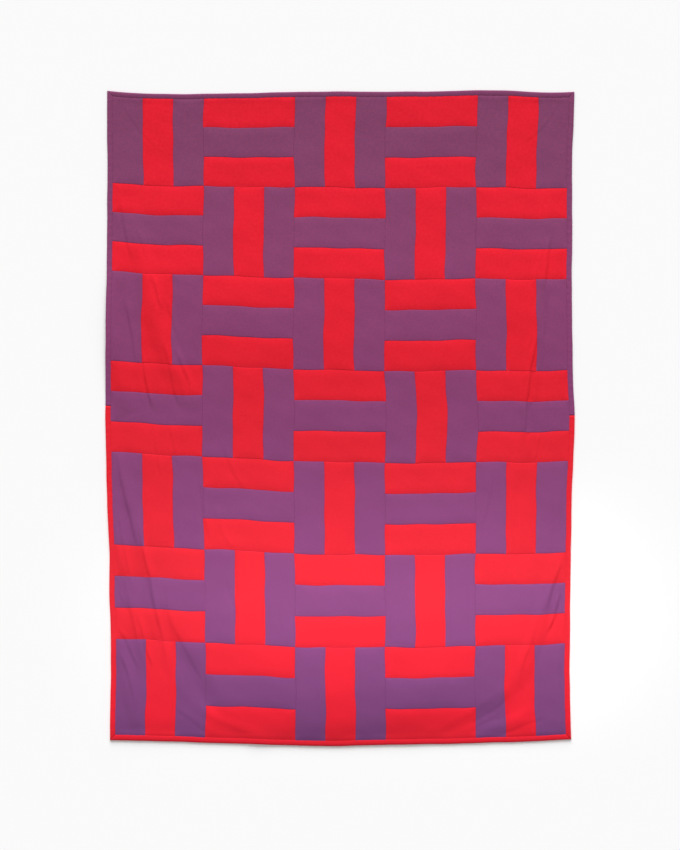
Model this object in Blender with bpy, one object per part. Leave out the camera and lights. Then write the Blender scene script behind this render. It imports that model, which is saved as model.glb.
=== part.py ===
"""A pieced cotton throw quilt, laid out flat on a surface as it lies, with its folds.

Metres, +Z up. The quilt's middle is at the origin, its underside at z = 0, its top edge towards +Y.
The filled sheet is one solid whose front is raised in rails between quilted seams. Six folded
binding strips wrap its edge. Sizes along the cloth are called across (from the left edge) and up
(from the bottom edge), and laid() turns them into the place where that point lies.
"""

import bmesh
import bpy
import numpy as np

# Sewn sizes of the flat quilt
WIDTH = 1.325
LENGTH = 1.859
BINDING = 0.015
BLOCKS_ACROSS = 5
BLOCKS_UP = 7
RAILS = 3  # strips in each block
BLOCK_WIDTH = (WIDTH - 2 * BINDING) / BLOCKS_ACROSS
BLOCK_LENGTH = (LENGTH - 2 * BINDING) / BLOCKS_UP

# Thickness of the layers
SEAM_THICKNESS = 0.003
PUFF = 0.0015  # how far a rail swells above its seams
CHANNEL = 0.024  # from a seam to where the rail is full
RIM_THICKNESS = 0.0026  # the layers squeezed inside the binding
BINDING_CLOTH = 0.001
GAP = 0.0003
RIM_INSET = 0.0016  # the layers' raw edge, in from the binding's fold

# How the edges bow out from straight, in metres, read at shares of the edge's length
LEFT_EDGE = (
    (0.00, -0.004), (0.09, -0.006), (0.15, -0.007), (0.22, -0.002), (0.29, -0.002),
    (0.34, 0.003), (0.45, 0.008), (0.53, 0.009), (0.69, 0.006), (0.77, 0.004), (1.00, 0.004),
)
RIGHT_EDGE = (
    (0.00, -0.004), (0.11, -0.008), (0.22, -0.006), (0.37, -0.002), (0.43, 0.002),
    (0.49, 0.006), (0.57, 0.001), (0.82, -0.001), (0.92, 0.000), (0.97, 0.004), (1.00, 0.006),
)
BOTTOM_EDGE = (
    (0.00, -0.008), (0.15, -0.004), (0.33, 0.004), (0.50, 0.008), (0.63, 0.004),
    (0.80, 0.000), (0.89, -0.004), (1.00, -0.011),
)
TOP_EDGE = (
    (0.00, 0.004), (0.05, -0.001), (0.13, -0.005), (0.24, -0.004), (0.33, -0.001),
    (0.50, 0.002), (0.69, 0.002), (0.84, 0.006), (0.94, -0.001), (1.00, 0.001),
)
# How far the level seams are drawn up halfway up the quilt, at shares of its width
SEAM_DRIFT = ((0.00, 0.028), (0.12, 0.025), (0.30, 0.016), (0.50, 0.007), (0.70, 0.002), (1.00, 0.000))
MIDDLE = (-0.0015, -0.0009)  # the middle of the laid outline, before it is moved to the origin

# The belly: the lower half swells from BELLY_TOP to its crest, and drops again to the bottom edge
BELLY_TOP = -0.030
BELLY_CREST = -0.760
BELLY_FOOT = -0.925
BELLY_HEIGHT = 0.013
# x of its left and right sides at each height y
BELLY_LEFT = (
    (-0.915, -0.285), (-0.855, -0.355), (-0.725, -0.435), (-0.610, -0.510), (-0.455, -0.570),
    (-0.270, -0.625), (-0.075, -0.680),
)
BELLY_RIGHT = (
    (-0.915, 0.285), (-0.870, 0.375), (-0.800, 0.490), (-0.685, 0.570), (-0.570, 0.605),
    (-0.420, 0.645), (-0.270, 0.665),
)
BELLY_FLANK = 0.070  # the steep part of its sides
BELLY_FLANK_SHARE = 0.4  # how much of its height that part takes
BELLY_SHOULDER = 0.300  # the gentle part, from the same foot

# Soft folds: height and half width of each ridge, then the points that its crest runs through
FOLDS = {
    "left swag": (0.004, 0.030, ((-0.650, -0.035), (-0.625, -0.150), (-0.590, -0.265), (-0.565, -0.375),
                                 (-0.535, -0.490), (-0.515, -0.605), (-0.485, -0.705), (-0.445, -0.790))),
    "left drag": (0.004, 0.026, ((-0.645, -0.235), (-0.625, -0.365), (-0.600, -0.490), (-0.575, -0.605),
                                 (-0.545, -0.735))),
    "left corner": (0.004, 0.030, ((-0.645, -0.605), (-0.615, -0.705), (-0.595, -0.805), (-0.575, -0.890))),
    "left hem": (0.004, 0.026, ((-0.430, -0.805), (-0.355, -0.855), (-0.270, -0.895), (-0.200, -0.920))),
    "right swag": (0.004, 0.035, ((0.630, -0.350), (0.605, -0.465), (0.575, -0.565), (0.545, -0.665),
                                  (0.500, -0.765), (0.430, -0.830))),
    "right hem": (0.003, 0.026, ((0.570, -0.820), (0.485, -0.870), (0.385, -0.905))),
    "right fold": (0.005, 0.034, ((0.585, 0.625), (0.575, 0.425), (0.560, 0.250), (0.545, 0.110),
                                  (0.530, -0.035), (0.520, -0.150))),
    "upper left fold": (0.006, 0.045, ((-0.600, 0.600), (-0.560, 0.430), (-0.520, 0.270), (-0.470, 0.130),
                                       (-0.400, 0.010))),
    "upper left hem": (0.008, 0.045, ((-0.655, 0.440), (-0.655, 0.380), (-0.650, 0.240), (-0.630, 0.110),
                                      (-0.600, 0.000))),
}

RED = (0.81, 0.022, 0.042, 1.0)
PURPLE = (0.258, 0.061, 0.178, 1.0)
COTTON_ROUGHNESS = 0.85


def between(table, at):
    """The smooth curve through a table's rows, read at each value of at."""
    spots, values = np.array(table).T
    slopes = np.gradient(values, spots)
    row = np.clip(np.searchsorted(spots, at) - 1, 0, len(spots) - 2)
    step = spots[row + 1] - spots[row]
    share = np.clip((at - spots[row]) / step, 0, 1)
    rest = 1 - share
    return (
        values[row] * (1 + 2 * share) * rest**2
        + values[row + 1] * (1 + 2 * rest) * share**2
        + step * share * rest * (slopes[row] * rest - slopes[row + 1] * share)
    )


def smooth(share):
    """0 below 0 and 1 above 1, with an even slope between."""
    share = np.clip(share, 0, 1)
    return share * share * (3 - 2 * share)


def laid(across, up):
    """x and y of a point of the cloth, within the quilt's uneven outline."""
    width_share = across / WIDTH
    length_share = up / LENGTH
    left = -WIDTH / 2 - between(LEFT_EDGE, length_share)
    right = WIDTH / 2 + between(RIGHT_EDGE, length_share)
    bottom = -LENGTH / 2 - between(BOTTOM_EDGE, width_share)
    top = LENGTH / 2 + between(TOP_EDGE, width_share)
    drift = between(SEAM_DRIFT, width_share) * 4 * length_share * (1 - length_share)
    x = left + (right - left) * width_share
    y = bottom + (top - bottom) * length_share + drift
    return x - MIDDLE[0], y - MIDDLE[1]


def flank(inside):
    """How full the belly is, so far in from one of its sides: steep at first, then gentle."""
    gentle = 1 - BELLY_FLANK_SHARE
    return BELLY_FLANK_SHARE * smooth(inside / BELLY_FLANK) + gentle * smooth(inside / BELLY_SHOULDER)


def belly(x, y):
    """The broad swell of the lower half, steepest at its foot."""
    rise = smooth((BELLY_TOP - y) / (BELLY_TOP - BELLY_CREST))
    above_foot = np.clip((y - BELLY_FOOT) / (BELLY_CREST - BELLY_FOOT), 0, 1)
    fall = above_foot * (2 - above_foot)
    left = flank(x - between(BELLY_LEFT, y))
    right = flank(between(BELLY_RIGHT, y) - x)
    return BELLY_HEIGHT * rise * fall * left * right


def fold(x, y, height, half_width, crest):
    """A soft ridge along the crest's points, dying out at both ends."""
    legs = np.array(crest)
    run = np.linalg.norm(np.diff(legs, axis=0), axis=1)
    start = np.concatenate([[0], np.cumsum(run)[:-1]])
    nearest = np.full(x.shape, np.inf)
    along = np.zeros(x.shape)
    for (ax, ay), (bx, by), length, begun in zip(legs[:-1], legs[1:], run, start):
        share = np.clip(((x - ax) * (bx - ax) + (y - ay) * (by - ay)) / length**2, 0, 1)
        away = np.hypot(x - ax - share * (bx - ax), y - ay - share * (by - ay))
        closer = away < nearest
        nearest = np.where(closer, away, nearest)
        along = np.where(closer, (begun + share * length) / run.sum(), along)
    bell = smooth(1 - nearest / half_width)
    return height * bell * np.sin(np.pi * np.clip(along, 0.02, 0.98)) ** 0.7


def lift(across, up):
    """Height of the underside above the surface. Under the binding it is that of its inner edge."""
    across = np.clip(across, BINDING, WIDTH - BINDING)
    up = np.clip(up, BINDING, LENGTH - BINDING)
    x, y = laid(across, up)
    raised = belly(x, y)
    for height, half_width, crest in FOLDS.values():
        raised = raised + fold(x, y, height, half_width, crest)
    return raised


def to_seam(blocks, rail_seams):
    """Distance to the nearest seam, in blocks, with the seams between rails where rail_seams is true."""
    to_block = np.abs(blocks - np.round(blocks))
    to_rail = np.abs(blocks * RAILS - np.round(blocks * RAILS)) / RAILS
    return np.where(rail_seams, to_rail, to_block)


def puff(across, up):
    """How far the front swells above its seams. Blocks stand upright and lie level by turns."""
    column = (across - BINDING) / BLOCK_WIDTH
    row = (up - BINDING) / BLOCK_LENGTH
    upright = (np.floor(column) + np.floor(row)) % 2 == 0
    from_side = to_seam(column, upright) * BLOCK_WIDTH
    from_end = to_seam(row, ~upright) * BLOCK_LENGTH
    share = np.minimum(np.minimum(from_side, from_end) / CHANNEL, 1)
    return PUFF * share * (2 - share)


def in_binding(across, up):
    """True where the binding covers the sheet."""
    hair = 1e-6
    inside = (across > BINDING + hair) & (across < WIDTH - BINDING - hair)
    return ~(inside & (up > BINDING + hair) & (up < LENGTH - BINDING - hair))


def rail_lines(blocks, block_size):
    """The sheet's lines in one direction: each seam, and where the rails beside it are full."""
    rail = block_size / RAILS
    seams = BINDING + rail * np.arange(blocks * RAILS)
    inner = (seams[:, None] + np.array([0, CHANNEL, rail - CHANNEL])).ravel()
    end = BINDING + blocks * block_size
    return np.concatenate([[RIM_INSET], inner, [end, end + BINDING - RIM_INSET]])


ACROSS_LINES = rail_lines(BLOCKS_ACROSS, BLOCK_WIDTH)
UP_LINES = np.sort(np.append(rail_lines(BLOCKS_UP, BLOCK_LENGTH), LENGTH / 2))


def cotton(name, colour):
    material = bpy.data.materials.new(name)
    material.use_nodes = True
    surface = material.node_tree.nodes["Principled BSDF"]
    surface.inputs["Base Color"].default_value = colour
    surface.inputs["Roughness"].default_value = COTTON_ROUGHNESS
    surface.inputs["Metallic"].default_value = 0.0
    material.diffuse_color = colour
    return material


def add_object(name, bm, materials, collection):
    bmesh.ops.recalc_face_normals(bm, faces=bm.faces)
    mesh = bpy.data.meshes.new(name)
    bm.to_mesh(mesh)
    bm.free()
    for material in materials:
        mesh.materials.append(material)
    obj = bpy.data.objects.new(name, mesh)
    collection.objects.link(obj)
    return obj


def move_points(bm, place):
    """Moves every point to place(x, y, z), which takes and returns arrays."""
    points = np.array([vert.co for vert in bm.verts])
    for vert, point in zip(bm.verts, np.array(place(*points.T)).T):
        vert.co = point


def slab(cells_across, cells_up):
    """A closed flat slab of cells: x and y count its lines, and z is 1 on its front and 0 below."""
    bm = bmesh.new()
    bmesh.ops.create_grid(bm, x_segments=cells_across, y_segments=cells_up, size=0.5)
    bmesh.ops.translate(bm, verts=bm.verts, vec=(0.5, 0.5, 0))
    bmesh.ops.scale(bm, verts=bm.verts, vec=(cells_across, cells_up, 1))
    bmesh.ops.solidify(bm, geom=bm.faces[:], thickness=1.0)
    return bm


def make_sheet(collection, red, purple):
    """The filled sheet, its front raised between the seams and its raw edge inside the binding."""
    bm = slab(len(ACROSS_LINES) - 1, len(UP_LINES) - 1)
    for face in bm.faces:
        middle = face.calc_center_median()
        across = np.interp(middle.x, range(len(ACROSS_LINES)), ACROSS_LINES)
        up = np.interp(middle.y, range(len(UP_LINES)), UP_LINES)
        face.material_index = int(rail_is_purple(across, up))

    def place(column, row, front):
        across = ACROSS_LINES[np.round(column).astype(int)]
        up = UP_LINES[np.round(row).astype(int)]
        edge = in_binding(across, up)
        below = lift(across, up) + np.where(edge, BINDING_CLOTH + GAP, 0)
        thickness = np.where(edge, RIM_THICKNESS, SEAM_THICKNESS + puff(across, up))
        front = front > front.mean()
        x, y = laid(across, up)
        return x, y, below + np.where(front, thickness, 0)

    move_points(bm, place)
    return add_object("quilt", bm, [red, purple], collection)


def rail_is_purple(across, up):
    """Upright blocks are purple, red, purple from the left, and level ones red, purple, red from below."""
    column = (across - BINDING) / BLOCK_WIDTH
    row = (up - BINDING) / BLOCK_LENGTH
    upright = (np.floor(column) + np.floor(row)) % 2 == 0
    middle_rail = np.floor((column if upright else row) * RAILS) % RAILS == 1
    return upright != middle_rail


# The strip's folded section, in metres: how far in from the quilt's edge, and how high above the lift
FOLD_IN = GAP + BINDING_CLOTH  # the inside of the fold
TOP_UNDER = BINDING_CLOTH + 2 * GAP + RIM_THICKNESS
BINDING_TOP = TOP_UNDER + BINDING_CLOTH
SECTION = (
    (BINDING, 0), (0.003, 0), (0, 0.3 * BINDING_TOP), (0, 0.7 * BINDING_TOP), (0.003, BINDING_TOP),
    (BINDING, BINDING_TOP), (BINDING, TOP_UNDER), (FOLD_IN, TOP_UNDER), (FOLD_IN, BINDING_CLOTH),
    (BINDING, BINDING_CLOTH),
)
MITRE_GAP = 0.7 * GAP  # along the strip, so that two mitred ends stand GAP apart
CORNER_STATION = BINDING + 0.001


def make_strip(name, lines, mitres, corner_of, collection, material):
    """A folded strip along one edge. lines are the places of its sections, mitres says which ends slant."""
    first, last = lines[0], lines[-1]
    inner = [line for line in lines if first + CORNER_STATION < line < last - CORNER_STATION]
    starts = [first, first + CORNER_STATION] if mitres[0] else [first + GAP / 2]
    ends = [last - CORNER_STATION, last] if mitres[1] else [last - GAP / 2]
    stations = np.array(starts + inner + ends)
    inward, height = np.array(SECTION).T
    bm = bmesh.new()
    bmesh.ops.create_grid(bm, x_segments=len(stations) - 1, y_segments=len(SECTION), size=0.5)

    def place(x, y, _):
        station = np.round((x + 0.5) * (len(stations) - 1)).astype(int)
        point = np.round((y + 0.5) * len(SECTION)).astype(int) % len(SECTION)
        depth = inward[point]
        along = stations[station].copy()
        slant = depth + MITRE_GAP
        if mitres[0]:
            along += np.where(station == 0, slant, 0)
        if mitres[1]:
            along -= np.where(station == len(stations) - 1, slant, 0)
        across, up = corner_of(along, depth)
        flat_x, flat_y = laid(across, up)
        return flat_x, flat_y, lift(across, up) + height[point]

    move_points(bm, place)
    bmesh.ops.remove_doubles(bm, verts=bm.verts, dist=1e-5)
    bmesh.ops.holes_fill(bm, edges=bm.edges, sides=len(SECTION))
    return add_object(name, bm, [material], collection)


def make_binding(collection, red, purple):
    """Six strips: purple round the upper half and red round the lower, butted halfway up each side."""
    half = LENGTH / 2
    lower = [0, *UP_LINES[(UP_LINES > BINDING) & (UP_LINES < half)], half]
    upper = [half, *UP_LINES[(UP_LINES > half) & (UP_LINES < LENGTH - BINDING)], LENGTH]
    level = [0, *ACROSS_LINES[(ACROSS_LINES > BINDING) & (ACROSS_LINES < WIDTH - BINDING)], WIDTH]

    def left(along, depth):
        return depth, along

    def right(along, depth):
        return WIDTH - depth, along

    def top(along, depth):
        return along, LENGTH - depth

    def bottom(along, depth):
        return along, depth

    make_strip("binding_left_upper", upper, (False, True), left, collection, purple)
    make_strip("binding_right_upper", upper, (False, True), right, collection, purple)
    make_strip("binding_top", level, (True, True), top, collection, purple)
    make_strip("binding_left_lower", lower, (True, False), left, collection, red)
    make_strip("binding_right_lower", lower, (True, False), right, collection, red)
    make_strip("binding_bottom", level, (True, True), bottom, collection, red)


def main():
    for obj in list(bpy.data.objects):
        bpy.data.objects.remove(obj, do_unlink=True)
    collection = bpy.data.collections.new("quilt")
    bpy.context.scene.collection.children.link(collection)
    red = cotton("red cotton", RED)
    purple = cotton("purple cotton", PURPLE)
    make_sheet(collection, red, purple)
    make_binding(collection, red, purple)


main()
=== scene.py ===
import bmesh
import bpy
import numpy as np
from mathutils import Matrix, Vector


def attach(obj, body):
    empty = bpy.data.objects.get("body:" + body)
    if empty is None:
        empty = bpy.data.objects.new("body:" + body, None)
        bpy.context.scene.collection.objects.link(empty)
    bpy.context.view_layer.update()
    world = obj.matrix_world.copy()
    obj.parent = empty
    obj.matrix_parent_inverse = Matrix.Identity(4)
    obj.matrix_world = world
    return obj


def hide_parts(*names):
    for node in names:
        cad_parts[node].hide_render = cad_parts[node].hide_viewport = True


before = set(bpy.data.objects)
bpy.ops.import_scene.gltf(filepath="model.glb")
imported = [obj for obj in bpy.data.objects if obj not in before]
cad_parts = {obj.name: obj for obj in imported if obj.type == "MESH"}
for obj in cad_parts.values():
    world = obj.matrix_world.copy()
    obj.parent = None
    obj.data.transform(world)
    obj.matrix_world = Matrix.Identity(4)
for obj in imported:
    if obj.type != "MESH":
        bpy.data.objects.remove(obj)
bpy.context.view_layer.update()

# Sewn sizes of the flat quilt, in metres
WIDTH = 1.325
LENGTH = 1.859
BINDING = 0.015
BLOCKS_ACROSS = 5
BLOCKS_UP = 7
RAILS = 3  # strips in each block
BLOCK_WIDTH = (WIDTH - 2 * BINDING) / BLOCKS_ACROSS
BLOCK_LENGTH = (LENGTH - 2 * BINDING) / BLOCKS_UP

# Thickness of the layers
SEAM_THICKNESS = 0.003
PUFF = 0.0015  # how far a rail swells above its seams
PUFF_FULLNESS = 2.4  # the higher, the flatter its crown
CHANNEL = 0.024  # from a seam to where the rail is full
RIM_THICKNESS = 0.0026  # the layers squeezed inside the binding
RIM_CLEAR = 0.0002  # the front lies so far below the binding's upper leg
LOOSE_FROM_RIM = 0.014  # where the front is free to crease, in from the binding
LEAST_THICKNESS = 0.0020
BINDING_CLOTH = 0.001
GAP = 0.0003
EDGE_RISE = BINDING_CLOTH + GAP  # the sheet stands on the binding's lower leg
EDGE_RAMP = 0.020  # over which it comes down to the surface
BACK_CLOTH = 0.0006

# The seams between the strips
SEAM_GAP = 0.00008
DITCH = 0.0003
DITCH_WIDTH = 0.0014
TURN_DOWN = 0.0012  # a strip's edge is turned down so far, and then back under it
TURN_UNDER = 0.005
HIDDEN_EDGE = 0.004  # the strips run on under the binding, to here
NEAR_EDGE = BLOCK_WIDTH / RAILS / 3  # a strip that starts nearer to the binding than this meets it
ALLOWANCE = 0.0003  # how much the turned edges under a strip raise it
ALLOWANCE_WIDTH = 0.0045
ALLOWANCE_STEP = 0.0040

# How the edges bow out from straight, in metres, read at shares of the edge's length
LEFT_EDGE = (
    (0.00, -0.004), (0.09, -0.006), (0.15, -0.007), (0.22, -0.002), (0.29, -0.002),
    (0.34, 0.003), (0.45, 0.008), (0.53, 0.009), (0.69, 0.006), (0.77, 0.004), (1.00, 0.004),
)
RIGHT_EDGE = (
    (0.00, -0.004), (0.11, -0.008), (0.22, -0.006), (0.37, -0.002), (0.43, 0.002),
    (0.49, 0.006), (0.57, 0.001), (0.82, -0.001), (0.92, 0.000), (0.97, 0.004), (1.00, 0.006),
)
BOTTOM_EDGE = (
    (0.00, -0.008), (0.15, -0.004), (0.33, 0.004), (0.50, 0.008), (0.63, 0.004),
    (0.80, 0.000), (0.89, -0.004), (1.00, -0.011),
)
TOP_EDGE = (
    (0.00, 0.004), (0.05, -0.001), (0.13, -0.005), (0.24, -0.004), (0.33, -0.001),
    (0.50, 0.002), (0.69, 0.002), (0.84, 0.006), (0.94, -0.001), (1.00, 0.001),
)
# How far the level seams are drawn up halfway up the quilt, at shares of its width
SEAM_DRIFT = ((0.00, 0.028), (0.12, 0.025), (0.30, 0.016), (0.50, 0.007), (0.70, 0.002), (1.00, 0.000))
MIDDLE = (-0.0015, -0.0009)  # the middle of the laid outline, before it is moved to the origin

# The belly: the lower half swells from BELLY_TOP to its crest, and drops again to the bottom edge
BELLY_TOP = -0.030
BELLY_CREST = -0.760
BELLY_FOOT = -0.925
BELLY_HEIGHT = 0.013
# x of its left and right sides at each height y
BELLY_LEFT = (
    (-0.915, -0.285), (-0.855, -0.355), (-0.725, -0.435), (-0.610, -0.510), (-0.455, -0.570),
    (-0.270, -0.625), (-0.075, -0.680),
)
BELLY_RIGHT = (
    (-0.915, 0.285), (-0.870, 0.375), (-0.800, 0.490), (-0.685, 0.570), (-0.570, 0.605),
    (-0.420, 0.645), (-0.270, 0.665),
)
BELLY_FLANK = 0.070  # the steep part of its sides
BELLY_FLANK_SHARE = 0.4  # how much of its height that part takes
BELLY_SHOULDER = 0.300  # the gentle part, from the same foot

# Soft folds: height and half width of each ridge, then the points that its crest runs through
FOLDS = {
    "left swag": (0.004, 0.030, ((-0.650, -0.035), (-0.625, -0.150), (-0.590, -0.265), (-0.565, -0.375),
                                 (-0.535, -0.490), (-0.515, -0.605), (-0.485, -0.705), (-0.445, -0.790))),
    "left drag": (0.004, 0.026, ((-0.645, -0.235), (-0.625, -0.365), (-0.600, -0.490), (-0.575, -0.605),
                                 (-0.545, -0.735))),
    "left corner": (0.004, 0.030, ((-0.645, -0.605), (-0.615, -0.705), (-0.595, -0.805), (-0.575, -0.890))),
    "left hem": (0.004, 0.026, ((-0.430, -0.805), (-0.355, -0.855), (-0.270, -0.895), (-0.200, -0.920))),
    "right swag": (0.004, 0.035, ((0.630, -0.350), (0.605, -0.465), (0.575, -0.565), (0.545, -0.665),
                                  (0.500, -0.765), (0.430, -0.830))),
    "right hem": (0.003, 0.026, ((0.570, -0.820), (0.485, -0.870), (0.385, -0.905))),
    "right fold": (0.005, 0.034, ((0.585, 0.625), (0.575, 0.425), (0.560, 0.250), (0.545, 0.110),
                                  (0.530, -0.035), (0.520, -0.150))),
    "upper left fold": (0.006, 0.045, ((-0.600, 0.600), (-0.560, 0.430), (-0.520, 0.270), (-0.470, 0.130),
                                       (-0.400, 0.010))),
    "upper left hem": (0.008, 0.045, ((-0.655, 0.440), (-0.655, 0.380), (-0.650, 0.240), (-0.630, 0.110),
                                      (-0.600, 0.000))),
}

# How far below a fold's crest the loose front stays, where it doesn't follow the fold all the way up
SLACK = {"left hem": 0.0020, "right hem": 0.0008}

# Creases in the front, each a soft step. Height of the step to the left of its run, or to the right if it
# is below zero, then how far it reaches to each side, and the points that it runs through
CREASES = {
    "swag a": (0.0016, 0.020, ((-0.640, -0.090), (-0.620, -0.205), (-0.605, -0.265),
                               (-0.590, -0.320), (-0.570, -0.405))),
    "swag b": (0.0020, 0.022, ((-0.580, -0.275), (-0.565, -0.365), (-0.545, -0.465), (-0.535, -0.520),
                               (-0.520, -0.575), (-0.505, -0.650), (-0.500, -0.715))),
    "drag a": (0.0014, 0.016, ((-0.640, -0.250), (-0.625, -0.320), (-0.615, -0.385),
                               (-0.600, -0.465), (-0.585, -0.535))),
    "drag b": (0.0016, 0.016, ((-0.575, -0.555), (-0.565, -0.620), (-0.550, -0.675), (-0.530, -0.725))),
    "drag c": (0.0012, 0.018, ((-0.645, -0.590), (-0.615, -0.630), (-0.595, -0.675), (-0.575, -0.725))),
    "drag d": (0.0014, 0.018, ((-0.630, -0.665), (-0.610, -0.725), (-0.595, -0.785), (-0.585, -0.840))),
    "drag e": (0.0009, 0.014, ((-0.650, -0.350), (-0.635, -0.420), (-0.630, -0.490), (-0.610, -0.555))),
    "drag f": (0.0009, 0.014, ((-0.610, -0.520), (-0.590, -0.585), (-0.580, -0.650))),
    "swell edge": (0.0008, 0.030, ((-0.495, -0.520), (-0.480, -0.590), (-0.455, -0.635),
                                   (-0.430, -0.685), (-0.385, -0.765))),
    "hem a": (0.0003, 0.024, ((-0.400, -0.840), (-0.335, -0.870), (-0.285, -0.895), (-0.235, -0.915))),
    "hem b": (0.0004, 0.020, ((-0.485, -0.820), (-0.440, -0.850), (-0.385, -0.890), (-0.335, -0.915))),
    "ripple a": (0.0010, 0.016, ((-0.335, -0.065), (-0.315, -0.135), (-0.295, -0.175), (-0.270, -0.220))),
    "ripple b": (0.0010, 0.016, ((-0.360, -0.235), (-0.350, -0.290), (-0.325, -0.350), (-0.290, -0.395))),
    "ripple c": (0.0009, 0.018, ((-0.410, -0.105), (-0.405, -0.175), (-0.390, -0.265), (-0.370, -0.365))),
    "ripple d": (0.0009, 0.016, ((-0.530, -0.020), (-0.525, -0.090), (-0.515, -0.175))),
    "ripple e": (0.0008, 0.016, ((-0.490, -0.005), (-0.475, -0.075), (-0.460, -0.150))),
    "ripple f": (0.0006, 0.016, ((-0.330, -0.450), (-0.305, -0.520), (-0.285, -0.590))),
    "upper a": (0.0014, 0.016, ((-0.630, 0.635), (-0.620, 0.570), (-0.610, 0.510), (-0.595, 0.445))),
    "upper b": (0.0018, 0.018, ((-0.615, 0.350), (-0.600, 0.275), (-0.590, 0.200), (-0.585, 0.130))),
    "upper c": (0.0024, 0.018, ((-0.570, 0.195), (-0.560, 0.130), (-0.550, 0.075), (-0.535, 0.015))),
    "upper d": (0.0022, 0.016, ((-0.535, 0.410), (-0.525, 0.355), (-0.510, 0.305))),
    "upper e": (0.0012, 0.018, ((-0.505, 0.350), (-0.485, 0.295), (-0.465, 0.230))),
    "upper f": (0.0016, 0.018, ((-0.475, 0.210), (-0.455, 0.155), (-0.435, 0.105), (-0.425, 0.040))),
    "upper g": (0.0012, 0.016, ((-0.505, 0.225), (-0.490, 0.150), (-0.475, 0.080), (-0.455, 0.025))),
    "upper h": (0.0008, 0.014, ((-0.415, 0.230), (-0.405, 0.175), (-0.400, 0.125))),
    "upper j": (0.0008, 0.014, ((-0.585, 0.550), (-0.565, 0.495), (-0.550, 0.445))),
    "side a": (-0.0020, 0.018, ((0.600, 0.525), (0.595, 0.445), (0.585, 0.360))),
    "side b": (-0.0034, 0.022, ((0.565, 0.250), (0.555, 0.190), (0.545, 0.125),
                                (0.535, 0.050), (0.530, -0.020), (0.523, -0.090))),
    "side c": (-0.0012, 0.014, ((0.545, 0.235), (0.535, 0.175), (0.530, 0.125))),
    "side d": (-0.0009, 0.014, ((0.585, 0.335), (0.585, 0.265), (0.580, 0.210))),
    "side e": (-0.0009, 0.014, ((0.575, -0.035), (0.565, -0.075), (0.555, -0.135))),
    "side f": (-0.0010, 0.020, ((0.570, 0.450), (0.560, 0.385), (0.550, 0.310))),
    "right a": (-0.0018, 0.016, ((0.635, -0.405), (0.620, -0.450), (0.605, -0.495), (0.590, -0.555))),
    "right b": (-0.0034, 0.016, ((0.630, -0.495), (0.620, -0.545), (0.605, -0.585), (0.590, -0.615))),
    "right c": (-0.0014, 0.026, ((0.570, -0.550), (0.555, -0.600), (0.545, -0.650),
                                 (0.525, -0.695), (0.515, -0.755))),
    "right d": (-0.0006, 0.024, ((0.475, -0.770), (0.465, -0.810), (0.435, -0.835),
                                 (0.400, -0.855), (0.350, -0.880))),
    "right e": (-0.0009, 0.014, ((0.495, -0.250), (0.495, -0.320), (0.495, -0.385))),
    "right f": (-0.0008, 0.014, ((0.430, -0.150), (0.430, -0.205), (0.420, -0.265), (0.400, -0.320))),
    "right hem a": (-0.0005, 0.022, ((0.595, -0.850), (0.535, -0.870), (0.480, -0.895), (0.430, -0.910))),
    "right hem b": (-0.0004, 0.020, ((0.455, -0.850), (0.400, -0.875), (0.350, -0.905))),
    "nick a": (-0.0009, 0.012, ((0.320, -0.675), (0.315, -0.720), (0.310, -0.770))),
    "nick b": (-0.0009, 0.012, ((0.275, -0.735), (0.265, -0.790), (0.250, -0.850))),
    "nick c": (0.0008, 0.012, ((0.155, -0.715), (0.165, -0.775))),
    "corner a": (0.0004, 0.014, ((-0.635, 0.920), (-0.590, 0.845), (-0.520, 0.765))),
    "corner b": (-0.0004, 0.014, ((0.635, 0.915), (0.590, 0.845), (0.515, 0.770))),
}
CREASE_CORE = 0.003  # half the width of the steep part of a step
CREASE_END = 0.25  # the share of its run over which a step dies out, at each end
FOLD_TAPER = 0.7  # the higher, the sooner a fold dies out towards its ends
FOLD_TIP = 0.02  # the share of its run that is its tip
COURSE_POINTS = 25  # a smooth course is read at so many points

# Waves that keep the cloth from lying dead flat: height, length and direction in degrees, and start
WAVES = (
    (0.00040, 0.310, 12, 0.3), (0.00035, 0.230, 74, 1.9), (0.00030, 0.170, 131, 4.1),
    (0.00022, 0.120, 38, 2.2), (0.00018, 0.090, 98, 5.3), (0.00014, 0.067, 158, 0.8),
    (0.00010, 0.049, 61, 3.7),
)
# The same for how far the seams wander from straight
WANDER_X = ((0.0012, 0.290, 82, 0.7), (0.0008, 0.150, 68, 2.9), (0.0005, 0.085, 104, 5.0))
WANDER_Y = ((0.0012, 0.330, 5, 1.4), (0.0008, 0.170, -14, 3.3), (0.0005, 0.093, 19, 0.2))
WANDER_AT_EDGE = 0.35  # how much of the wander is left at the quilt's edge
WANDER_REACH = 0.08  # how far in it is full


def between(table, at):
    """The smooth curve through a table's rows, read at each value of at."""
    spots, values = np.array(table).T
    slopes = np.gradient(values, spots)
    row = np.clip(np.searchsorted(spots, at) - 1, 0, len(spots) - 2)
    step = spots[row + 1] - spots[row]
    share = np.clip((at - spots[row]) / step, 0, 1)
    rest = 1 - share
    return (
        values[row] * (1 + 2 * share) * rest**2
        + values[row + 1] * (1 + 2 * rest) * share**2
        + step * share * rest * (slopes[row] * rest - slopes[row + 1] * share)
    )


def smooth(share):
    """0 below 0 and 1 above 1, with an even slope between."""
    share = np.clip(share, 0, 1)
    return share * share * (3 - 2 * share)


def waves(table, x, y):
    """The sum of straight waves, each crossing the quilt in its own direction."""
    total = np.zeros(x.shape)
    for height, length, turn, start in table:
        along = x * np.cos(np.radians(turn)) + y * np.sin(np.radians(turn))
        total += height * np.sin(2 * np.pi * along / length + start)
    return total


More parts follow.
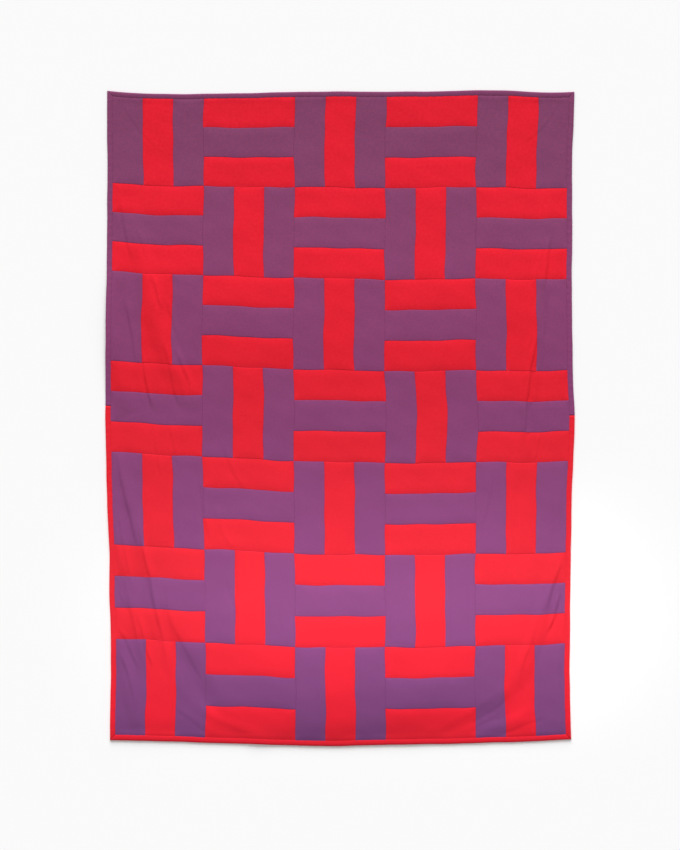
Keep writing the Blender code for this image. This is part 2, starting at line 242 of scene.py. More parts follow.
def laid(across, up):
    """x and y of a point of the cloth, within the quilt's uneven outline."""
    width_share = across / WIDTH
    length_share = up / LENGTH
    left = -WIDTH / 2 - between(LEFT_EDGE, length_share)
    right = WIDTH / 2 + between(RIGHT_EDGE, length_share)
    bottom = -LENGTH / 2 - between(BOTTOM_EDGE, width_share)
    top = LENGTH / 2 + between(TOP_EDGE, width_share)
    drift = between(SEAM_DRIFT, width_share) * 4 * length_share * (1 - length_share)
    x = left + (right - left) * width_share
    y = bottom + (top - bottom) * length_share + drift
    return x - MIDDLE[0], y - MIDDLE[1]


def wandered(across, up):
    """x and y as laid, with the small wander that sewing and handling leave. It fades at the edges."""
    x, y = laid(across, up)
    from_edge = np.minimum(np.minimum(across, WIDTH - across), np.minimum(up, LENGTH - up))
    share = WANDER_AT_EDGE + (1 - WANDER_AT_EDGE) * smooth(from_edge / WANDER_REACH)
    return x + share * waves(WANDER_X, x, y), y + share * waves(WANDER_Y, x, y)


def flank(inside):
    """How full the belly is, so far in from one of its sides: steep at first, then gentle."""
    gentle = 1 - BELLY_FLANK_SHARE
    return BELLY_FLANK_SHARE * smooth(inside / BELLY_FLANK) + gentle * smooth(inside / BELLY_SHOULDER)


def belly(x, y):
    """The broad swell of the lower half, steepest at its foot."""
    rise = smooth((BELLY_TOP - y) / (BELLY_TOP - BELLY_CREST))
    above_foot = np.clip((y - BELLY_FOOT) / (BELLY_CREST - BELLY_FOOT), 0, 1)
    fall = above_foot * (2 - above_foot)
    left = flank(x - between(BELLY_LEFT, y))
    right = flank(between(BELLY_RIGHT, y) - x)
    return BELLY_HEIGHT * rise * fall * left * right


def near_course(x, y, points, reach):
    """The places within reach of the smooth course through the points, how far along it each one lies, as a
    share, and how far off it, above zero to the left of its run."""
    points = np.array(points)
    run = np.concatenate([[0], np.cumsum(np.linalg.norm(np.diff(points, axis=0), axis=1))])
    stops = np.linspace(0, run[-1], COURSE_POINTS)
    course_x = between(np.column_stack([run, points[:, 0]]), stops)
    course_y = between(np.column_stack([run, points[:, 1]]), stops)
    near = (x > course_x.min() - reach) & (x < course_x.max() + reach)
    near &= (y > course_y.min() - reach) & (y < course_y.max() + reach)
    near_x, near_y = x[near], y[near]
    nearest = np.full(near_x.shape, np.inf)
    along = np.zeros(near_x.shape)
    off = np.zeros(near_x.shape)
    for leg in range(COURSE_POINTS - 1):
        from_x, from_y = near_x - course_x[leg], near_y - course_y[leg]
        step_x, step_y = course_x[leg + 1] - course_x[leg], course_y[leg + 1] - course_y[leg]
        share = np.clip((from_x * step_x + from_y * step_y) / (step_x * step_x + step_y * step_y), 0, 1)
        away_x, away_y = from_x - share * step_x, from_y - share * step_y
        away = np.hypot(away_x, away_y)
        closer = away < nearest
        nearest = np.where(closer, away, nearest)
        along = np.where(closer, (leg + share) / (COURSE_POINTS - 1), along)
        off = np.where(closer, np.sign(step_x * away_y - step_y * away_x) * away, off)
    return near, along, off


def fold(x, y, height, half_width, crest):
    """A soft ridge along the crest's points, dying out at both ends."""
    near, along, off = near_course(x, y, crest, half_width)
    result = np.zeros(x.shape)
    bell = smooth(1 - np.abs(off) / half_width)
    taper = np.sin(np.pi * np.clip(along, FOLD_TIP, 1 - FOLD_TIP)) ** FOLD_TAPER
    result[near] = height * bell * taper
    return result


def crease(x, y, height, reach, course):
    """A soft step in the cloth, which dies out to both sides and at both ends."""
    near, along, off = near_course(x, y, course, reach)
    result = np.zeros(x.shape)
    step = off / CREASE_CORE / np.sqrt(1 + (off / CREASE_CORE) ** 2)
    fade = np.clip(1 - (off / reach) ** 2, 0, 1) ** 2
    ends = smooth(along / CREASE_END) * smooth((1 - along) / CREASE_END)
    result[near] = height * step * fade * ends
    return result


def lift(across, up):
    """Height of the underside above the surface. Under the binding it is that of its inner edge."""
    across = np.clip(across, BINDING, WIDTH - BINDING)
    up = np.clip(up, BINDING, LENGTH - BINDING)
    x, y = laid(across, up)
    raised = belly(x, y)
    for height, half_width, crest in FOLDS.values():
        raised = raised + fold(x, y, height, half_width, crest)
    return raised


def creases(across, up):
    """The small creases and waves of the front, held down where the binding squeezes the layers."""
    x, y = laid(np.clip(across, BINDING, WIDTH - BINDING), np.clip(up, BINDING, LENGTH - BINDING))
    total = waves(WAVES, x, y)
    for height, reach, course in CREASES.values():
        total = total + crease(x, y, height, reach, course)
    for name, depth in SLACK.items():
        _, half_width, crest = FOLDS[name]
        total = total - fold(x, y, depth, half_width, crest)
    return total


SPECK = 1e-9  # keeps a place on the outer edge within its block


def block_place(across, up):
    """The column and row, in blocks, and whether that block's strips stand upright."""
    column = np.clip((across - BINDING) / BLOCK_WIDTH, SPECK, BLOCKS_ACROSS - SPECK)
    row = np.clip((up - BINDING) / BLOCK_LENGTH, SPECK, BLOCKS_UP - SPECK)
    return column, row, (np.floor(column) + np.floor(row)) % 2 == 0


def to_seam(across, up):
    """Distance to the nearest seam, the binding's inner edge among them."""
    column, row, upright = block_place(across, up)

    def to_line(blocks, has_strips, size):
        step = np.where(has_strips, RAILS, 1)
        return np.abs(blocks * step - np.round(blocks * step)) / step * size

    return np.minimum(to_line(column, upright, BLOCK_WIDTH), to_line(row, ~upright, BLOCK_LENGTH))


def from_binding(across, up):
    """How far in from the binding's inner edge, and 0 under it."""
    inside = np.minimum(
        np.minimum(across - BINDING, WIDTH - BINDING - across),
        np.minimum(up - BINDING, LENGTH - BINDING - up),
    )
    return np.maximum(inside, 0)


def edge_rise(across, up):
    """How far the underside is lifted by the binding's lower leg."""
    return EDGE_RISE * (1 - smooth(from_binding(across, up) / EDGE_RAMP))


def front_height(across, up):
    """Height of the front's upper face above the surface."""
    inner = from_binding(across, up)
    covered = inner <= 0
    seam = np.where(covered, 0, to_seam(across, up))
    share = np.minimum(seam / CHANNEL, 1)
    puff = PUFF * (1 - (1 - share) ** PUFF_FULLNESS)
    ditch = DITCH * np.clip(1 - seam / DITCH_WIDTH, 0, 1) ** 2
    thickness = np.where(covered, RIM_THICKNESS - RIM_CLEAR, SEAM_THICKNESS + puff - ditch)
    loose = smooth(inner / LOOSE_FROM_RIM)
    layers = np.maximum(thickness + creases(across, up) * loose, LEAST_THICKNESS)
    return lift(across, up) + edge_rise(across, up) + layers


def points_of(mesh):
    points = np.empty(len(mesh.vertices) * 3)
    mesh.vertices.foreach_get("co", points)
    return points.reshape(-1, 3)


def put_points(mesh, x, y, z):
    mesh.vertices.foreach_set("co", np.column_stack([x, y, z]).ravel())
    mesh.update()


def lay_pattern(mesh, across, up):
    """Gives the piece a map in metres along its own cloth, so that the weave follows the grain."""
    corner = np.empty(len(mesh.loops), dtype=np.int64)
    mesh.loops.foreach_get("vertex_index", corner)
    layer = mesh.uv_layers.new(name="cloth")
    layer.data.foreach_set("uv", np.column_stack([across[corner], up[corner]]).ravel())


def finish_piece(bm, name, material):
    mesh = bpy.data.meshes.new(name)
    bm.to_mesh(mesh)
    bm.free()
    mesh.materials.append(material)
    mesh.shade_smooth()
    piece = bpy.data.objects.new(name, mesh)
    bpy.context.scene.collection.objects.link(piece)
    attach(piece, "root")
    return piece


SAME_PLACE = 1e-6  # points nearer than this are one


def merge_points(mesh):
    """Joins the points that lie in one place, as where a strip's turned edges meet at its corners."""
    bm = bmesh.new()
    bm.from_mesh(mesh)
    bmesh.ops.remove_doubles(bm, verts=bm.verts, dist=SAME_PLACE)
    bm.to_mesh(mesh)
    bm.free()


def thicken(piece, thickness, offset):
    """Gives an open sheet its cloth's thickness."""
    solidify = piece.modifiers.new("cloth", "SOLIDIFY")
    solidify.thickness = thickness
    solidify.offset = offset
    solidify.use_even_offset = False
    solidify.use_rim = True


# Patchwork

# Lines across a strip, from a seam: close together in the ditch and even on the crown
NEAR_SEAM = np.array([0, 0.0006, 0.0014, 0.0030])
FINE_CELLS = (0.0026, 0.0034)  # across and up, in the outer blocks, where the creases are
PLAIN_CELLS = (0.0050, 0.0050)


def strip_lines(start, end, cell):
    """Places of the grid lines across a strip from start to end, close together beside its seams."""
    low = start + NEAR_SEAM
    high = end - NEAR_SEAM[::-1]
    cells = max(2, round((high[0] - low[-1]) / cell))
    return np.concatenate([low, np.linspace(low[-1], high[0], cells + 1)[1:-1], high])


def strips():
    """Each strip of the front: its left, right, bottom and top on the flat cloth, and if it is purple."""
    for row in range(BLOCKS_UP):
        for column in range(BLOCKS_ACROSS):
            left = BINDING + column * BLOCK_WIDTH
            bottom = BINDING + row * BLOCK_LENGTH
            upright = (row + column) % 2 == 0
            for rail in range(RAILS):
                if upright:
                    edge = left + rail * BLOCK_WIDTH / RAILS
                    sides = [edge, edge + BLOCK_WIDTH / RAILS, bottom, bottom + BLOCK_LENGTH]
                else:
                    edge = bottom + rail * BLOCK_LENGTH / RAILS
                    sides = [left, left + BLOCK_WIDTH, edge, edge + BLOCK_LENGTH / RAILS]
                yield np.array(sides), upright != (rail == 1)


def tucked(sides):
    """The strip's sides, drawn in from its seams by half a gap, or run on under the binding."""
    inset = SEAM_GAP / 2
    left, right, bottom, top = sides + np.array([inset, -inset, inset, -inset])
    if left < BINDING + NEAR_EDGE:
        left = HIDDEN_EDGE
    if right > WIDTH - BINDING - NEAR_EDGE:
        right = WIDTH - HIDDEN_EDGE
    if bottom < BINDING + NEAR_EDGE:
        bottom = HIDDEN_EDGE
    if top > LENGTH - BINDING - NEAR_EDGE:
        top = LENGTH - HIDDEN_EDGE
    return left, right, bottom, top


def seam_allowance(from_seam):
    """The turned edges that lie under a strip beside its seam, pressed towards it."""
    return ALLOWANCE * (1 - smooth((from_seam - ALLOWANCE_WIDTH) / ALLOWANCE_STEP))


def turn_edges(bm, rim, strip):
    """Turns the strip's edges down into its seams, and then back under it."""
    left, right, bottom, top = strip
    edges = list(dict.fromkeys(edge for vert in rim for edge in vert.link_edges if edge.is_boundary))
    for under in (0, TURN_UNDER):
        turned = bmesh.ops.extrude_edge_only(bm, edges=edges)["geom"]
        for vert in turned:
            if isinstance(vert, bmesh.types.BMVert):
                across = min(max(vert.co.x, left + under), right - under)
                up = min(max(vert.co.y, bottom + under), top - under)
                vert.co = (across, up, TURN_DOWN)
        edges = [edge for edge in turned if isinstance(edge, bmesh.types.BMEdge) and edge.is_boundary]


def cut_strip(bm, strip):
    """One strip as flat cloth. x and y are its place on the quilt, and z is how far it is turned down."""
    left, right, bottom, top = strip
    inner = BINDING + BLOCK_WIDTH < (left + right) / 2 < WIDTH - BINDING - BLOCK_WIDTH
    cell_across, cell_up = PLAIN_CELLS if inner else FINE_CELLS
    columns = strip_lines(left, right, cell_across)
    rows = strip_lines(bottom, top, cell_up)
    last_column, last_row = len(columns) - 1, len(rows) - 1
    cloth = bmesh.ops.create_grid(bm, x_segments=last_column, y_segments=last_row, size=0.5)["verts"]
    rim = []
    for number, vert in enumerate(cloth):
        row, column = divmod(number, len(columns))
        vert.co = (columns[column], rows[row], 0)
        if column in (0, last_column) or row in (0, last_row):
            rim.append(vert)
    turn_edges(bm, rim, strip)


def sew_panels(name, wanted, material):
    """Cuts the wanted strips, lays them on the folds and joins them into one piece."""
    bm = bmesh.new()
    counts = []
    for strip in wanted:
        before = len(bm.verts)
        cut_strip(bm, strip)
        counts.append(len(bm.verts) - before)
    piece = finish_piece(bm, name, material)
    across, up, turned = points_of(piece.data).T
    left, right, bottom, top = np.repeat(np.array(wanted), counts, axis=0).T
    from_side = np.minimum(across - left, right - across)
    from_end = np.minimum(up - bottom, top - up)
    if material == purple_cotton:
        from_allowance = np.minimum(from_side, from_end)
    else:
        from_allowance = np.where(right - left < top - bottom, from_end, 1)
    raised = seam_allowance(from_allowance) * (from_binding(across, up) > 0)
    lay_pattern(piece.data, across, up)
    x, y = wandered(across, up)
    put_points(piece.data, x, y, front_height(across, up) + raised - turned)
    merge_points(piece.data)
    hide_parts("quilt")
    return piece


# Materials


class Cloth:
    """Builds one cotton's nodes, on its map in metres along the threads."""

    def __init__(self, name):
        self.material = bpy.data.materials.new(name)
        self.material.use_nodes = True
        self.tree = self.material.node_tree
        self.surface = self.tree.nodes["Principled BSDF"]
        self.place = self.node("ShaderNodeUVMap", uv_map="cloth").outputs["UV"]

    def fill(self, socket, value):
        if isinstance(value, bpy.types.NodeSocket):
            self.tree.links.new(value, socket)
        else:
            socket.default_value = value

    def node(self, kind, inputs=None, **settings):
        made = self.tree.nodes.new(kind)
        for key, value in settings.items():
            setattr(made, key, value)
        for key, value in (inputs or {}).items():
            self.fill(made.inputs[key], value)
        return made

    def noise(self, along, over, detail=3, roughness=0.6):
        """Soft spots, so many to a metre along and over the cloth's map."""
        stretch = {"Vector": self.place, "Scale": (along, over, 1)}
        place = self.node("ShaderNodeMapping", stretch).outputs["Vector"]
        settings = {"Vector": place, "Scale": 1.0, "Detail": detail, "Roughness": roughness}
        return self.node("ShaderNodeTexNoise", settings).outputs["Fac"]

    def threads(self, direction):
        """One set of threads, side by side."""
        settings = {"Vector": self.place, "Scale": WAVE_TURN / THREAD_PITCH, "Distortion": THREAD_WANDER}
        return self.node(
            "ShaderNodeTexWave", settings, wave_type="BANDS", bands_direction=direction
        ).outputs["Fac"]

    def ramp(self, value, *stops):
        """Runs through the stops, each a value and its colour."""
        made = self.node("ShaderNodeValToRGB", {"Fac": value})
        elements = made.color_ramp.elements
        for number, (position, colour) in enumerate(stops):
            element = elements[number] if number < 2 else elements.new(position)
            element.position, element.color = position, (*colour, 1)
        return made.outputs["Color"]

    def mix(self, share, first, second, blend="MIX"):
        made = self.node("ShaderNodeMix", {"Factor": share}, data_type="RGBA", blend_type=blend)
        colours = [socket for socket in made.inputs if socket.type == "RGBA"]
        self.fill(colours[0], first)
        self.fill(colours[1], second)
        return next(socket for socket in made.outputs if socket.type == "RGBA")

    def times(self, colour, shade):
        return self.mix(1.0, colour, shade, "MULTIPLY")

    def bump(self, height, strength, distance, under=None):
        inputs = {"Height": height, "Strength": strength, "Distance": distance}
        if under:
            inputs["Normal"] = under
        return self.node("ShaderNodeBump", inputs).outputs["Normal"]


WAVE_TURN = 0.31416  # a wave texture of this scale has one wave to the metre
THREAD_PITCH = 0.00046
THREAD_WANDER = 0.6
WHITE = (1, 1, 1)


def grey(depth):
    return (1 - depth,) * 3


WEAVE_PAINTED_SHADE = 0.20  # painted shade: how much darker the cloth's colour is painted in the hollows between its threads
WEAVE_DEPTH = 0.0001  # of the hollows between the threads, and then how strongly they show
WEAVE_BUMP = 0.35
RUMPLE_DEPTH = 0.0006  # of the soft rumples, and then how strongly they show
RUMPLE_BUMP = 0.13
# How many there are to a metre: soft patches of dye, fine specks, rumples, and slubs along and over a thread
PATCHES = 110
SPECKS = 320
RUMPLES = 140
SLUBS = (50, 900)
# The surface of plain matt cotton
COTTON = {"Roughness": 0.88, "Specular IOR Level": 0.12, "Sheen Weight": 0.06, "Sheen Roughness": 0.5}
# The tones hold painted light and shade as well as dye: darker at the foot and towards the head, lighter
# over the swell.
TONES_FROM = -0.935  # y of the quilt's foot, and then of its head
TONES_TO = 0.865
TONE_STOPS = (0.0, 0.045, 0.240, 0.615, 0.770, 1.0)  # shares of the way from foot to head


def up_the_quilt(cloth):
    """0 at the quilt's foot and 1 at its head."""
    spot = cloth.node("ShaderNodeTexCoord").outputs["Object"]
    height = cloth.node("ShaderNodeSeparateXYZ", {"Vector": spot}).outputs["Y"]
    limits = {"Value": height, "From Min": TONES_FROM, "From Max": TONES_TO}
    return cloth.node("ShaderNodeMapRange", limits).outputs["Result"]


def dye_and_painted_light(cloth, share, tones):
    """The dye's drift from the quilt's foot to its head, at the tone stops, with painted light and shade in
    how bright the tones are.
    """
    return cloth.ramp(share, *zip(TONE_STOPS, tones))


def patches(cloth, share, cool):
    """Tints that drift from cool to clear in soft patches, and even out at the foot."""
    even = tuple((low + 1) / 2 for low in cool)
    spots = cloth.ramp(cloth.noise(PATCHES, PATCHES, 4, 0.65), (0.34, cool), (0.66, WHITE))
    return cloth.mix(share, (*even, 1), spots)


def mottle(cloth, depth):
    """Shade of uneven dye: fine spots, and slubs along both sets of threads."""
    shade = cloth.ramp(cloth.noise(SPECKS, SPECKS, 3, 0.7), (0.30, grey(depth)), (0.62, WHITE))
    for along, over in (SLUBS, SLUBS[::-1]):
        slubs = cloth.ramp(cloth.noise(along, over), (0.30, grey(0.5 * depth)), (0.65, WHITE))
        shade = cloth.times(shade, slubs)
    return shade


def weave_cotton(cloth, colour, tint):
    """Finishes a plain-weave quilting cotton, with painted shade in its colour between its threads, and both
    in its bump.
    """
    both = {0: cloth.threads("X"), 1: cloth.threads("Y")}
    weave = cloth.node("ShaderNodeMath", both, operation="MAXIMUM")
    # painted shade: the colour is darkened in the hollows between the threads
    shade = cloth.ramp(weave.outputs[0], (0.2, grey(WEAVE_PAINTED_SHADE)), (0.9, WHITE))
    cloth.fill(cloth.surface.inputs["Base Color"], cloth.times(colour, shade))
    for key, value in COTTON.items():
        cloth.fill(cloth.surface.inputs[key], value)
    cloth.fill(cloth.surface.inputs["Sheen Tint"], (*tint, 1))
    rumples = cloth.bump(cloth.noise(RUMPLES, RUMPLES, 4, 0.55), RUMPLE_BUMP, RUMPLE_DEPTH)
    relief = cloth.bump(weave.outputs[0], WEAVE_BUMP, WEAVE_DEPTH, rumples)
    cloth.fill(cloth.surface.inputs["Normal"], relief)
    return cloth.material


def colour_red_cotton():
    """A clear red, with painted light that makes it lighter and a little warmer over the swell, and painted
    shade that darkens its foot.
    """
    cloth = Cloth("red cotton")
    # Painted light and shade: the foot is darkened, the swell lightened and warmed, and a band above the
    # middle and the head darkened.
    tones = (
        (0.70, 0.015, 0.032), (0.94, 0.019, 0.042), (0.95, 0.029, 0.049),
        (0.85, 0.0165, 0.035), (0.93, 0.018, 0.039), (0.87, 0.016, 0.037),
    )
    share = up_the_quilt(cloth)
    colour = cloth.times(dye_and_painted_light(cloth, share, tones), patches(cloth, share, (0.93, 0.72, 0.76)))
    return weave_cotton(cloth, cloth.times(colour, mottle(cloth, 0.04)), (0.9, 0.02, 0.04))


def colour_purple_cotton():
    """A hand-dyed purple that runs from an uneven plum at the head to a smoother violet at the foot, with
    painted shade darkening its foot and head and painted light brightening the swell.
    """
    cloth = Cloth("purple cotton")
    share = up_the_quilt(cloth)
    # The turn from plum to a bluer violet is the dye's; how bright each stop is, is painted light and shade:
    # dark at the foot, light over the swell, darker at the head.
    tones = (
        (0.188, 0.051, 0.178), (0.240, 0.062, 0.210), (0.317, 0.075, 0.240),
        (0.312, 0.060, 0.184), (0.331, 0.067, 0.188), (0.294, 0.065, 0.165),
    )
    colour = cloth.times(dye_and_painted_light(cloth, share, tones), patches(cloth, share, (0.84, 1.0, 1.0)))
    shade = cloth.mix(share, mottle(cloth, 0.04), mottle(cloth, 0.18))
    return weave_cotton(cloth, cloth.times(colour, shade), (0.31, 0.064, 0.182))


red_cotton = colour_red_cotton()
purple_cotton = colour_purple_cotton()

all_strips = [(tucked(sides), purple) for sides, purple in strips()]


def in_upper(sides):
    return (sides[2] + sides[3]) / 2 > LENGTH / 2


def wanted_strips(purple, upper):
    return [sides for sides, is_purple in all_strips if is_purple == purple and in_upper(sides) == upper]


front = [
    sew_panels("front_red_upper", wanted_strips(False, True), red_cotton),
    sew_panels("front_red_lower", wanted_strips(False, False), red_cotton),
    sew_panels("front_purple_upper", wanted_strips(True, True), purple_cotton),
    sew_panels("front_purple_lower", wanted_strips(True, False), purple_cotton),
]


# Back

BACK_CELL = 0.016
BACK_NEAR = np.array([0, 0.002, 0.006])  # lines beside a quilted seam
BACK_DIMPLE = 0.0002  # how far the stitches draw the back up


def back_lines(blocks, block_size, side):
    """Grid lines of the back: along each seam, close beside it, and in even cells between."""
    rail = block_size / RAILS
    cells = round((rail - 2 * BACK_NEAR[-1]) / BACK_CELL)
    crown = np.linspace(BACK_NEAR[-1], rail - BACK_NEAR[-1], cells + 1)[1:-1]
    inner = np.concatenate([BACK_NEAR, crown, rail - BACK_NEAR[:0:-1]])
    lines = BINDING + (rail * np.arange(blocks * RAILS)[:, None] + inner).ravel()
    hem = np.array([HIDDEN_EDGE, (HIDDEN_EDGE + BINDING) / 2])
    return np.concatenate([hem, lines, [side - BINDING], side - hem[::-1]])


def lay_back():
    """The plain back: one cut of cloth that lies on the surface and rises only under folds and stitches."""
    columns = back_lines(BLOCKS_ACROSS, BLOCK_WIDTH, WIDTH)
    rows = back_lines(BLOCKS_UP, BLOCK_LENGTH, LENGTH)
    bm = bmesh.new()
    bmesh.ops.create_grid(bm, x_segments=len(columns) - 1, y_segments=len(rows) - 1, size=0.5)
    piece = finish_piece(bm, "back", purple_cotton)
    across, up = np.tile(columns, len(rows)), np.repeat(rows, len(columns))
    lay_pattern(piece.data, across, up)
    x, y = wandered(across, up)
    dimple = BACK_DIMPLE * np.clip(1 - to_seam(across, up) / BACK_NEAR[-1], 0, 1) ** 2
    put_points(piece.data, x, y, lift(across, up) + np.maximum(edge_rise(across, up), dimple))
    thicken(piece, BACK_CLOTH, 1)
    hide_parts("quilt")
    return piece


back = lay_back()


# Quilting stitches

STITCH_PITCH = 0.0032
STITCH_SHARE = 0.76  # how much of its pitch a stitch covers
THREAD_RADIUS = 0.00018
STITCH_BOW = 0.6  # a stitch's middle stands out by so many radii, and its ends dive in by so many more
STITCH_DIVE = 1.6
THREAD_STAND = 0.00024  # the front's stitches stand on the turned edges


def quilting_lines():
    """Both ends of each line of quilting on the flat cloth, one in the ditch of every seam."""
    for column in range(1, BLOCKS_ACROSS):
        across = BINDING + column * BLOCK_WIDTH
        yield across, BINDING, across, LENGTH - BINDING
    for row in range(1, BLOCKS_UP):
        up = BINDING + row * BLOCK_LENGTH
        yield BINDING, up, WIDTH - BINDING, up
    for row in range(BLOCKS_UP):
        for column in range(BLOCKS_ACROSS):
            left = BINDING + column * BLOCK_WIDTH
            bottom = BINDING + row * BLOCK_LENGTH
            for rail in range(1, RAILS):
                if (row + column) % 2 == 0:
                    across = left + rail * BLOCK_WIDTH / RAILS
                    yield across, bottom, across, bottom + BLOCK_LENGTH
                else:
                    up = bottom + rail * BLOCK_LENGTH / RAILS
                    yield left, up, left + BLOCK_WIDTH, up


def stitch_places():
    """The middle of each stitch on the flat cloth, and the way that it runs."""
    middles, runs = [], []
    for line in quilting_lines():
        start, end = np.array(line[:2]), np.array(line[2:])
        length = np.linalg.norm(end - start)
        count = round(length / STITCH_PITCH)
        shares = (np.arange(count) + 0.5) / count
        middles.append(start + np.outer(shares, end - start))
        runs.append(np.tile((end - start) / length, (count, 1)))
    return np.concatenate(middles), np.concatenate(runs)


def wind_stitches(count):
    """So many short round threads, still all in one place, each with its points in the same order."""
    first = bmesh.new()
    bmesh.ops.create_uvsphere(first, u_segments=3, v_segments=3, radius=1)
    thread = bpy.data.meshes.new("thread")
    first.to_mesh(thread)
    first.free()
    bm = bmesh.new()
    bm.from_mesh(thread)
    bpy.data.meshes.remove(thread)
    verts, edges, faces = len(bm.verts), len(bm.edges), len(bm.faces)
    made = 1
    while made < count:
        more = min(made, count - made)
        copied = bm.verts[:more * verts] + bm.edges[:more * edges] + bm.faces[:more * faces]
        bmesh.ops.duplicate(bm, geom=copied)
        made += more
    return bm, verts


def quilt_face(name, face_height, outward):
    """The stitches that show on one face. outward is 1 on the front, and -1 on the back."""
    middles, runs = stitch_places()
    bm, verts = wind_stitches(len(middles))
    piece = finish_piece(bm, name, purple_cotton)
    side, over, along = points_of(piece.data).T
    middle_across, middle_up = np.repeat(middles, verts, axis=0).T
    run_across, run_up = np.repeat(runs, verts, axis=0).T
    bow = outward * (STITCH_BOW - STITCH_DIVE * along**2)
    along = np.cbrt(along) * STITCH_PITCH * STITCH_SHARE / 2
    seam_across, seam_up = middle_across + run_across * along, middle_up + run_up * along
    across = seam_across - run_up * side * THREAD_RADIUS
    up = seam_up + run_across * side * THREAD_RADIUS
    lay_pattern(piece.data, across, up)
    x, y = wandered(across, up)
    put_points(piece.data, x, y, face_height(seam_across, seam_up) + (over + bow) * THREAD_RADIUS)
    return piece


def back_height(across, up):
    """Height of the back's lower face above the surface, along a line of quilting."""
    return lift(across, up) + np.maximum(edge_rise(across, up), BACK_DIMPLE)


def stitched_front(across, up):
    """Height of the front's stitches along a line of quilting."""
    return front_height(across, up) + THREAD_STAND


quilting = [
    quilt_face("quilting_front", stitched_front, 1),
    quilt_face("quilting_back", back_height, -1),
]


# Binding

# The folded strip's section: how far in from the quilt's edge, and how high above the lift
SECTION = (
    (0.0146, 0.0002), (0.0110, 0.0000), (0.0060, 0.0000), (0.0028, 0.0002), (0.0011, 0.0009),
    (0.0002, 0.0019), (0.0000, 0.0030), (0.0004, 0.0041), (0.0016, 0.0050), (0.0036, 0.0055),
    (0.0066, 0.0056), (0.0100, 0.0053), (0.0128, 0.0049), (0.0145, 0.0044), (0.0153, 0.0037),
    (0.0152, 0.0031), (0.0146, 0.0034), (0.0120, 0.0042), (0.0060, 0.0044), (0.0022, 0.0038),
    (0.0014, 0.0028), (0.0020, 0.0016), (0.0060, 0.0010), (0.0120, 0.0010), (0.0146, 0.0009),
)
UPPER_LEG_FROM = 0.0030  # the section's heights over which its upper leg begins
UPPER_LEG_RISE = 0.0015
BINDING_CELL = 0.0045
# Small puckers along the upper leg, which lift it and draw it in
PUCKER = ((0.00016, 0.021, 0, 0.4), (0.00012, 0.013, 0, 2.1), (0.00008, 0.0085, 0, 5.2))
PUCKER_IN = ((0.0003, 0.047, 0, 1.1), (0.0002, 0.019, 0, 3.9))


def fold_strip(name, start, end, mitres, corner_of, material, node):
    """A folded binding strip along one edge, from start to end, slanting at the ends that mitres names."""
    inward, height = np.array(SECTION).T
    count = len(SECTION)
    cells = round((end - start) / BINDING_CELL)
    bm = bmesh.new()
    bmesh.ops.create_grid(bm, x_segments=cells, y_segments=count, size=0.5)
    points = np.array([vert.co for vert in bm.verts])
    share = points[:, 0] + 0.5
    ring = np.round((points[:, 1] + 0.5) * count).astype(int)
    depth, rise = inward[ring % count], height[ring % count]
    from_start = start + (depth if mitres[0] else 0)
    from_end = end - (depth if mitres[1] else 0)
    along = from_start + (from_end - from_start) * share
    across, up = corner_of(along, depth)
    top_side = smooth((rise - UPPER_LEG_FROM) / UPPER_LEG_RISE)
    x, y = wandered(across, up)
    inset_x, inset_y = corner_of(along, depth + waves(PUCKER_IN, along, 0 * along) * depth / BINDING)
    moved_x, moved_y = wandered(inset_x, inset_y)
    x, y = np.where(top_side > 0, moved_x, x), np.where(top_side > 0, moved_y, y)
    z = lift(across, up) + rise + top_side * waves(PUCKER, along, 0 * along)
    for vert, place in zip(bm.verts, zip(x, y, np.maximum(z, 0))):
        vert.co = place
    piece = finish_piece(bm, name, material)
    around = np.concatenate([[0], np.cumsum(np.hypot(np.diff(inward), np.diff(height)))])
    around = np.append(around, around[-1] + BINDING_CLOTH)
    lay_pattern(piece.data, along, around[ring])
    close_strip(piece)
    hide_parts(node)
    return piece


def close_strip(piece):
    """Joins the strip's raw edges into a tube and fills its two ends."""
    bm = bmesh.new()
    bm.from_mesh(piece.data)
    bmesh.ops.remove_doubles(bm, verts=bm.verts, dist=SAME_PLACE)
    ends = [edge for edge in bm.edges if edge.is_boundary]
    bmesh.ops.holes_fill(bm, edges=ends, sides=len(SECTION))
    bmesh.ops.recalc_face_normals(bm, faces=bm.faces)
    bm.to_mesh(piece.data)
    bm.free()
    piece.data.shade_smooth()


def left_side(along, depth):
    return depth, along


def right_side(along, depth):
    return WIDTH - depth, along


def top_side_of(along, depth):
    return along, LENGTH - depth


def bottom_side(along, depth):
    return along, depth


HALF = LENGTH / 2
JOINT = GAP / 2
binding = [
    fold_strip("binding_top_purple", 0, WIDTH, (True, True), top_side_of, purple_cotton,
               "binding_top"),
    fold_strip("binding_left_purple", HALF + JOINT, LENGTH, (False, True), left_side, purple_cotton,
               "binding_left_upper"),
    fold_strip("binding_right_purple", HALF + JOINT, LENGTH, (False, True), right_side, purple_cotton,
               "binding_right_upper"),
    fold_strip("binding_left_red", 0, HALF - JOINT, (True, False), left_side, red_cotton,
               "binding_left_lower"),
    fold_strip("binding_right_red", 0, HALF - JOINT, (True, False), right_side, red_cotton,
               "binding_right_lower"),
    fold_strip("binding_bottom_red", 0, WIDTH, (True, True), bottom_side, red_cotton,
               "binding_bottom"),
]


# Floor, light and camera

FLOOR_SIZE = 60
FLOOR_DROP = 0.0002
FLOOR_GREY = 0.97
WORLD_STRENGTH = 0.45
SUN_STRENGTH = 4.0
SOFTBOX_WATTS = 0.47
SOFTBOX_PLACE = (0.13, -0.55, 1.1)


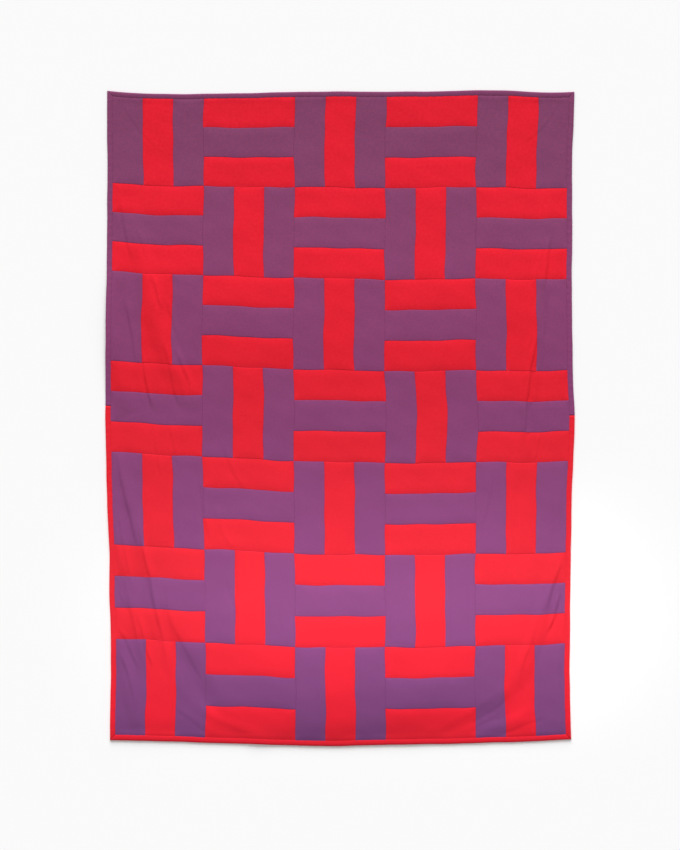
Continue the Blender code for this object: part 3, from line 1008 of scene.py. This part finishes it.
def lay_floor():
    bm = bmesh.new()
    bmesh.ops.create_grid(bm, x_segments=4, y_segments=4, size=FLOOR_SIZE / 2)
    mesh = bpy.data.meshes.new("floor")
    bm.to_mesh(mesh)
    bm.free()
    paint = bpy.data.materials.new("pale floor")
    paint.use_nodes = True
    surface = paint.node_tree.nodes["Principled BSDF"]
    surface.inputs["Base Color"].default_value = (FLOOR_GREY, FLOOR_GREY, FLOOR_GREY, 1)
    surface.inputs["Roughness"].default_value = 0.95
    surface.inputs["Specular IOR Level"].default_value = 0.1
    mesh.materials.append(paint)
    floor = bpy.data.objects.new("floor", mesh)
    floor.location.z = -FLOOR_DROP
    bpy.context.scene.collection.objects.link(floor)


def add_light(name, kind, energy, place, aim, **settings):
    data = bpy.data.lights.new(name, kind)
    data.energy = energy
    for key, value in settings.items():
        setattr(data, key, value)
    light = bpy.data.objects.new(name, data)
    light.location = place
    direction = Vector(aim) - Vector(place)
    light.rotation_euler = direction.to_track_quat("-Z", "Y").to_euler()
    light.visible_camera = False
    bpy.context.scene.collection.objects.link(light)
    return light


lay_floor()
world = bpy.data.worlds.new("studio")
world.use_nodes = True
world.node_tree.nodes["Background"].inputs["Color"].default_value = (*WHITE, 1)
world.node_tree.nodes["Background"].inputs["Strength"].default_value = WORLD_STRENGTH
bpy.context.scene.world = world
add_light("window", "SUN", SUN_STRENGTH, (0, 3.0, 1.40), (0, 0, 0), angle=0.70)
add_light("low softbox", "AREA", SOFTBOX_WATTS, SOFTBOX_PLACE, (*SOFTBOX_PLACE[:2], 0),
          shape="RECTANGLE", size=1.20, size_y=0.14, spread=0.80)

# The camera looks straight down from a long way off, with the photo's margins round the quilt
CAMERA_HEIGHT = 9.0
METRES_A_PIXEL = 0.002857
PHOTO_HEIGHT = 850
PHOTO_MIDDLE = (0.0, -0.020)  # the point of the quilt under the photo's middle
SENSOR = 36.0

camera_data = bpy.data.cameras.new("camera")
camera_data.sensor_fit = "AUTO"
camera_data.sensor_width = SENSOR
camera_data.lens = SENSOR * CAMERA_HEIGHT / (PHOTO_HEIGHT * METRES_A_PIXEL)
camera_data.clip_end = 100
camera = bpy.data.objects.new("camera", camera_data)
camera.location = (*PHOTO_MIDDLE, CAMERA_HEIGHT)
camera.rotation_euler = (0, 0, 0)
bpy.context.scene.collection.objects.link(camera)
bpy.context.scene.camera = camera
bpy.context.scene.view_settings.view_transform = "Standard"
